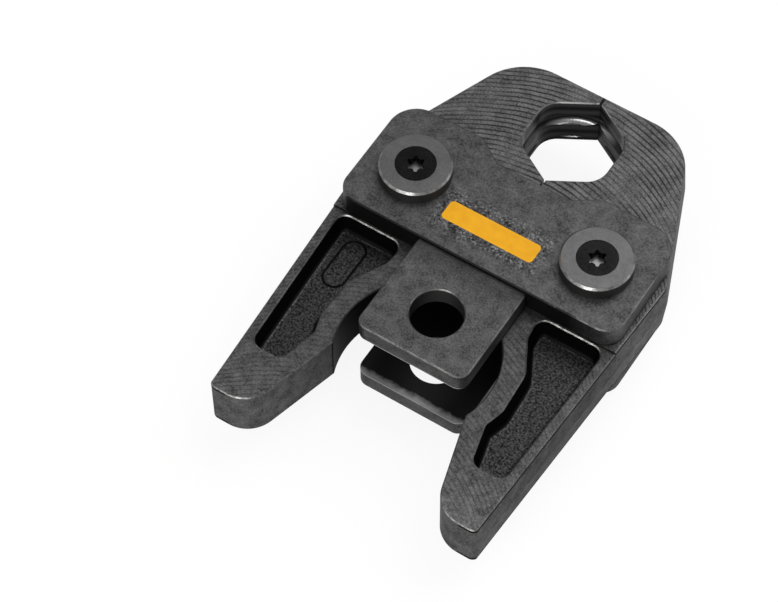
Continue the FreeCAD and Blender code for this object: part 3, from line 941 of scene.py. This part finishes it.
@dataclass(frozen=True)
class YellowEnamel:
    """Yellow enamel rolled on thinly: dull gloss, chipped and rubbed where tools scrape it."""

    name: str = "yellow_enamel"
    paint: str = "#DFA318"
    paint_dark: str = "#C98C0E"
    tone_mm: float = 2.5
    chip: str = "#46443F"
    chip_mm: float = 1.1
    chip_range: Point = (0.66, 0.70)
    bump_mm: float = 0.03
    bump_strength: float = 0.5
    roughness: float = 0.65
    gloss: float = 0.2

    def build(self) -> bpy.types.Material:
        """Build the chipped paint.

        Returns:
            The material.
        """
        material, graph, shader = start_material(self.name)
        tone = graph.add("TexNoise", {"Vector": graph.place, "Scale": 1 / self.tone_mm,
                                      "Detail": 3.0})
        painted = graph.add("Mix", {FACTOR: tone, FIRST: self.paint, SECOND: self.paint_dark},
                            data_type="RGBA")
        chips = graph.add("TexNoise", {"Vector": graph.place, "Scale": 1 / self.chip_mm,
                                       "Detail": 5.0, "Roughness": 0.75})
        gone = graph.add("MapRange", {"Value": chips, "From": self.chip_range})
        colour = graph.add("Mix", {FACTOR: gone, FIRST: painted, SECOND: self.chip},
                           data_type="RGBA")
        bump = graph.add("Bump", {"Height": chips, "Distance": self.bump_mm * MM,
                                  "Strength": self.bump_strength})
        graph.connect(colour, shader.inputs["Base Color"])
        graph.connect(bump, shader.inputs["Normal"])
        shader.inputs["Roughness"].default_value = self.roughness
        shader.inputs["Specular IOR Level"].default_value = self.gloss
        return material


def mesh_object(name: str, points: np.ndarray, faces: np.ndarray) -> bpy.types.Object:
    """Make a smooth mesh object from arrays.

    Args:
        name: Name of the piece.
        points: Vertices, one row each, in metres.
        faces: Vertex numbers, one row of four for each face.

    Returns:
        The object, at the origin.
    """
    mesh = bpy.data.meshes.new(name)
    mesh.from_pydata(points.tolist(), [], faces.tolist())
    mesh.polygons.foreach_set("use_smooth", np.ones(len(faces), dtype=bool))
    mesh.update()
    piece = bpy.data.objects.new(name, mesh)
    bpy.context.scene.collection.objects.link(piece)
    return piece


def grid_faces(rows: int, columns: int) -> np.ndarray:
    """Give the quads of a grid whose columns close on themselves.

    Args:
        rows: Number of rings.
        columns: Vertices in each ring.

    Returns:
        Vertex numbers, one row for each quad.
    """
    row, column = np.meshgrid(np.arange(rows - 1), np.arange(columns), indexing="ij")
    following = (column + 1) % columns
    quads = np.stack([row * columns + column, row * columns + following,
                      (row + 1) * columns + following, (row + 1) * columns + column], axis=-1)
    return quads.reshape(-1, 4)


def dress(node: bpy.types.Object, material: bpy.types.Material) -> None:
    """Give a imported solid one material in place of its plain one."""
    node.data.materials.clear()
    node.data.materials.append(material)


@dataclass
class Levers:
    """Two forged levers that carry the press contour and the roller tails."""

    finish: ForgedMilledSteel = ForgedMilledSteel(
        "blackened_forged_steel", coat="#767676", wear_and_highlight="#B8B7B4", edge_wear_and_highlight=0.85,
        sideways_highlight=0.1)

    def build(self, nodes: dict[str, bpy.types.Object]) -> list[bpy.types.Object]:
        """Dress both levers.

        Args:
            nodes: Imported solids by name.

        Returns:
            The dressed pieces.
        """
        material = self.finish.build()
        pieces = [nodes["left_jaw"], nodes["right_jaw"]]
        for piece in pieces:
            dress(piece, material)
        return pieces


@dataclass
class Plates:
    """Two T-shaped plates, with a plain yellow bar painted on the upper crossbar."""

    finish: MachinedPlateSteel = MachinedPlateSteel(
        "blackened_plate_steel", coat="#626262", coat_dark="#282828", wear_and_highlight="#888784",
        edge_wear_and_highlight=0.6)
    paint: YellowEnamel = YellowEnamel()
    bar_x_mm: float = -1.0
    bar_y_mm: float = 27.5
    bar_length_mm: float = 27.0
    bar_width_mm: float = 6.0
    bar_corner_mm: float = 1.2
    bar_height_mm: float = 0.03
    bar_corner_points: int = 12

    def painted_bar(self, face: float) -> bpy.types.Object:
        """Make the painted bar: a rounded rectangle's outline shrunk in rings to its middle.

        Args:
            face: Height of the crossbar's outer face in metres.

        Returns:
            The bar.
        """
        quarter = np.linspace(0, math.pi / 2, self.bar_corner_points)
        half_length = self.bar_length_mm / 2 - self.bar_corner_mm
        half_width = self.bar_width_mm / 2 - self.bar_corner_mm
        signs = ((1, 1), (-1, 1), (-1, -1), (1, -1))
        outline_x = []
        outline_y = []
        for turn, (sign_x, sign_y) in enumerate(signs):
            angle = quarter + turn * math.pi / 2
            outline_x.append(sign_x * half_length + self.bar_corner_mm * np.cos(angle))
            outline_y.append(sign_y * half_width + self.bar_corner_mm * np.sin(angle))
        x = np.concatenate(outline_x)
        y = np.concatenate(outline_y)
        # The bar's foot and its top are closed by rings that shrink almost to a point
        shares = np.array([1e-4, 1.0, 1.0, 0.99, 1e-4])
        heights = self.bar_height_mm * np.array([-1.0, -1.0, 0.5, 1.0, 1.0])
        points = np.stack([self.bar_x_mm + shares[:, None] * x,
                           self.bar_y_mm + shares[:, None] * y,
                           face / MM + np.repeat(heights[:, None], len(x), axis=1)], axis=-1)
        return mesh_object("crossbar_paint_bar", points.reshape(-1, 3) * MM,
                           grid_faces(len(shares), len(x)))

    def build(self, nodes: dict[str, bpy.types.Object]) -> list[bpy.types.Object]:
        """Dress both plates and paint the bar.

        Args:
            nodes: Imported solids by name.

        Returns:
            The dressed pieces.
        """
        material = self.finish.build()
        pieces = [nodes["upper_plate"], nodes["lower_plate"]]
        for piece in pieces:
            dress(piece, material)
        bar = self.painted_bar(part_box("upper_plate")[1].z)
        bar.data.materials.append(self.paint.build())
        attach(bar, Body.PLATES.value)
        return [*pieces, bar]


@dataclass
class Pivots:
    """Pins, washers and screws of the two pivots."""

    # Turned faces show as pale satin, with bevels that catch the light
    washer: TurnedSteel = TurnedSteel(
        "satin_turned_steel", coat="#666666", coat_dark="#525252", wear_and_highlight="#A4A3A1",
        roughness=0.36, metallic=0.95, bump_mm=0.012, edge_wear_and_highlight=1.0)
    # Ground and hardened pins are smoother and brighter than the washers
    pin: TurnedSteel = TurnedSteel(
        "ground_pin_steel", coat="#77777A", coat_dark="#606063", wear_and_highlight="#B9B8B6",
        speckle=0.15, roughness=0.3, metallic=1.0, bump_mm=0.006)
    # Black oxide is nearly black and keeps the gloss of the steel below it
    screw: RecessHighlightScrewSteel = RecessHighlightScrewSteel(
        "black_oxide_screw_steel", coat="#222222", coat_dark="#101010", wear_and_highlight="#6C6B69",
        roughness=0.28, metallic=0.9, bump_mm=0.012, edge_wear_and_highlight=0.2)

    def build(self, nodes: dict[str, bpy.types.Object]) -> list[bpy.types.Object]:
        """Dress the pins, washers and screws.

        Args:
            nodes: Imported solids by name.

        Returns:
            The dressed pieces.
        """
        materials = {"washer": self.washer.build(), "pin": self.pin.build(),
                     "screw": self.screw.build()}
        pieces = []
        for name, node in nodes.items():
            kind = name.rsplit("_", 1)[-1]
            if kind in materials:
                dress(node, materials[kind])
                pieces.append(node)
        return pieces


@dataclass
class ClosingSpring:
    """Compression spring between the levers, wound as two halves."""

    wire_mm: float = 1.4
    turns: float = 8.0
    closed_turns: float = 1.0
    steps_per_turn: int = 40
    wire_sides: int = 14
    end_share: float = 0.9
    # Drawn wire under a film of oil: grey, smooth and sharply glossy
    finish: BlackenedSteel = BlackenedSteel(
        "oiled_spring_wire", coat="#6A6A6D", coat_dark="#4C4C50", speckle=0.3,
        roughness=0.3, metallic=1.0, bump_mm=0.006)

    def half(self, side: int, lowest: Vector, highest: Vector) -> bpy.types.Object:
        """Wind one half: a circle swept along a helix whose last turn lies closed.

        Args:
            side: One for the right half, minus one for the left.
            lowest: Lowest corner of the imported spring.
            highest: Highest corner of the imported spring.

        Returns:
            The half spring.
        """
        wire = self.wire_mm * MM / 2
        radius = (highest.z - lowest.z) / 2 - wire
        centre_y = (highest.y + lowest.y) / 2
        length = (highest.x - lowest.x) / 2 - wire
        turns = self.turns / 2
        steps = int(turns * self.steps_per_turn) + 1
        share = np.linspace(0, 1, steps)
        active = turns - self.closed_turns
        pitch = (length - self.closed_turns * 2 * wire) / active
        turned = share * turns
        x = np.where(turned < active, turned * pitch,
                     active * pitch + (turned - active) * 2 * wire)
        angle = FULL_TURN * turned
        path = np.stack([side * x, centre_y + radius * np.cos(angle),
                         side * radius * np.sin(angle)], axis=-1)
        outward = np.stack([np.zeros(steps), np.cos(angle), side * np.sin(angle)], axis=-1)
        tangent = np.gradient(path, axis=0)
        tangent /= np.linalg.norm(tangent, axis=1, keepdims=True)
        binormal = np.cross(tangent, outward)
        binormal /= np.linalg.norm(binormal, axis=1, keepdims=True)
        around = np.linspace(0, FULL_TURN, self.wire_sides, endpoint=False)
        rings = (path[:, None, :]
                 + wire * (np.cos(around)[None, :, None] * outward[:, None, :]
                           + np.sin(around)[None, :, None] * binormal[:, None, :]))
        start = np.repeat(path[:1, None, :], self.wire_sides, axis=1)
        end = np.repeat(path[-1:, None, :], self.wire_sides, axis=1)
        points = np.concatenate([start, rings, end]).reshape(-1, 3)
        name = "closing_spring_right" if side > 0 else "closing_spring_left"
        return mesh_object(name, points, grid_faces(steps + 2, self.wire_sides)[:, ::-1])

    def build(self) -> list[bpy.types.Object]:
        """Wind and finish both halves of the spring.

        Returns:
            The two halves.
        """
        lowest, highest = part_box("closing_spring")
        material = self.finish.build()
        pieces = []
        for side, lever in ((1, Body.RIGHT_LEVER), (-1, Body.LEFT_LEVER)):
            piece = self.half(side, lowest, highest)
            piece.data.materials.append(material)
            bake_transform(piece)
            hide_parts("closing_spring")
            pieces.append(piece)
        return pieces


def outward(azimuth: float, elevation: float) -> Vector:
    """Give the direction from the jaw to a lamp or camera.

    Args:
        azimuth: Degrees from the rear towards the right.
        elevation: Degrees above the floor.

    Returns:
        The unit vector: sine and minus cosine of the azimuth, laid over by the elevation.
    """
    turn = math.radians(azimuth)
    rise = math.radians(elevation)
    return Vector((math.sin(turn) * math.cos(rise), -math.cos(turn) * math.cos(rise),
                   math.sin(rise)))


@dataclass(frozen=True)
class Softbox:
    """One square area lamp that faces the middle of the jaw."""

    name: str
    azimuth: float
    elevation: float
    distance: float
    size: float
    power: float

    def build(self, target: Vector) -> bpy.types.Object:
        """Hang the lamp.

        Args:
            target: Point that the lamp faces.

        Returns:
            The lamp.
        """
        back = outward(self.azimuth, self.elevation)
        lamp = bpy.data.lights.new(self.name, "AREA")
        lamp.shape = "SQUARE"
        lamp.size = self.size
        lamp.energy = self.power
        holder = bpy.data.objects.new(self.name, lamp)
        holder.location = target + back * self.distance
        holder.rotation_euler = back.to_track_quat("Z", "Y").to_euler()
        bpy.context.scene.collection.objects.link(holder)
        return holder


@dataclass
class Studio:
    """Pale floor, soft lamps and the photograph's camera."""

    camera_azimuth: float = 33.3245
    camera_elevation: float = 57.691
    camera_roll: float = -0.8343
    camera_distance: float = 0.74742
    camera_target: Corner = (-0.012106, -0.003327, 0.0141)
    focal_length: float = 137.81
    sensor_width: float = 36.0
    clip_range: Point = (0.05, 20.0)
    floor_size: float = 8.0
    floor_colour: str = "#F4F4F3"
    floor_roughness: float = 0.9
    floor_glow: float = 0.88
    tent_height: Point = (0.1, 0.9)
    tent_strength: Point = (0.75, 0.5)
    lamps: tuple[Softbox, ...] = (
        Softbox("overhead_softbox", 150.0, 62.0, 0.8, 0.7, 4.0),
        Softbox("front_softbox", 8.0, 30.0, 0.8, 0.5, 3.0),
        Softbox("right_softbox", 118.0, 20.0, 0.8, 0.4, 0.8),
    )

    def camera(self) -> bpy.types.Object:
        """Set up the camera from its azimuth, elevation, roll and distance.

        Returns:
            The camera.
        """
        turn = math.radians(self.camera_azimuth)
        roll = math.radians(self.camera_roll)
        back = outward(self.camera_azimuth, self.camera_elevation)
        level = Vector((math.cos(turn), math.sin(turn), 0))
        above = back.cross(level)
        right = level * math.cos(roll) + above * math.sin(roll)
        up = above * math.cos(roll) - level * math.sin(roll)
        lens = bpy.data.cameras.new("photo_camera")
        lens.lens = self.focal_length
        lens.sensor_width = self.sensor_width
        lens.clip_start, lens.clip_end = self.clip_range
        holder = bpy.data.objects.new("photo_camera", lens)
        place = Matrix((right, up, back)).transposed().to_4x4()
        place.translation = Vector(self.camera_target) + back * self.camera_distance
        holder.matrix_world = place
        bpy.context.scene.collection.objects.link(holder)
        bpy.context.scene.camera = holder
        return holder

    def floor(self, level: float) -> bpy.types.Object:
        """Lay the floor.

        Args:
            level: Height of the floor in metres.

        Returns:
            The floor.
        """
        half = self.floor_size / 2
        points = np.array([(-half, -half, level), (half, -half, level), (half, half, level),
                           (-half, half, level)])
        piece = mesh_object("studio_floor", points, np.array([[0, 1, 2, 3]]))
        # Matt paper that takes the jaw's shadow and looks almost white to the camera
        material, graph, shader = start_material("pale_studio_floor")
        shader.inputs["Base Color"].default_value = linear_colour(self.floor_colour)
        shader.inputs["Roughness"].default_value = self.floor_roughness
        rays = graph.add("LightPath").outputs
        seen = graph.add("Math", [rays["Is Camera Ray"], rays["Is Glossy Ray"]],
                         operation="MAXIMUM")
        seen = graph.add("Math", [seen, rays["Is Transmission Ray"]], operation="MAXIMUM")
        share = graph.add("Math", [seen, self.floor_glow], operation="MULTIPLY")
        glow = graph.add("Emission", {"Color": WHITE, "Strength": 1.0})
        mixed = graph.add("MixShader", [share, shader, glow])
        graph.connect(mixed, material.node_tree.nodes["Material Output"].inputs[0])
        piece.data.materials.append(material)
        piece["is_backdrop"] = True
        return piece

    def world(self) -> None:
        """Light the room: a pale tent that is brighter near the floor than overhead."""
        world = bpy.data.worlds.new("studio_tent")
        world.use_nodes = True
        world.node_tree.nodes.clear()
        bpy.context.scene.world = world
        graph = Graph(world.node_tree)
        height = graph.add("SeparateXYZ", [graph.add("TexCoord").outputs["Generated"]])
        tent = graph.add("MapRange", {"Value": height.outputs["Z"], "From": self.tent_height,
                                      "To": self.tent_strength})
        seen = graph.add("LightPath").outputs["Is Camera Ray"]
        strength = graph.add("Math", [tent, seen], operation="MAXIMUM")
        sky = graph.add("Background", {"Color": WHITE, "Strength": strength})
        graph.add("OutputWorld", {"Surface": sky})

    def build(self, lowest: Vector, highest: Vector) -> None:
        """Set up floor, world, lamps and camera.

        Args:
            lowest: Lowest corner of the jaw.
            highest: Highest corner of the jaw.
        """
        self.floor(lowest.z)
        self.world()
        target = (lowest + highest) / 2
        for lamp in self.lamps:
            lamp.build(target)
        self.camera()
        bpy.context.scene.view_settings.view_transform = "Standard"


def clear_scene() -> None:
    """Remove what the default file holds."""
    for item in list(bpy.data.objects):
        bpy.data.objects.remove(item, do_unlink=True)


def main() -> None:
    """Build the dressed jaw and its studio."""
    logging.basicConfig(level=logging.INFO, format="%(name)s: %(message)s")
    clear_scene()
    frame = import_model()
    solid_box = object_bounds()
    nodes = frame["nodes"]
    for assembly in (Levers(), Plates(), Pivots()):
        for piece in assembly.build(nodes):
            LOG.info("%s: %s", type(assembly).__name__, piece.name)
    for piece in ClosingSpring().build():
        LOG.info("ClosingSpring: %s", piece.name)
    Studio().build(*solid_box)


if __name__ == "__main__":
    main()
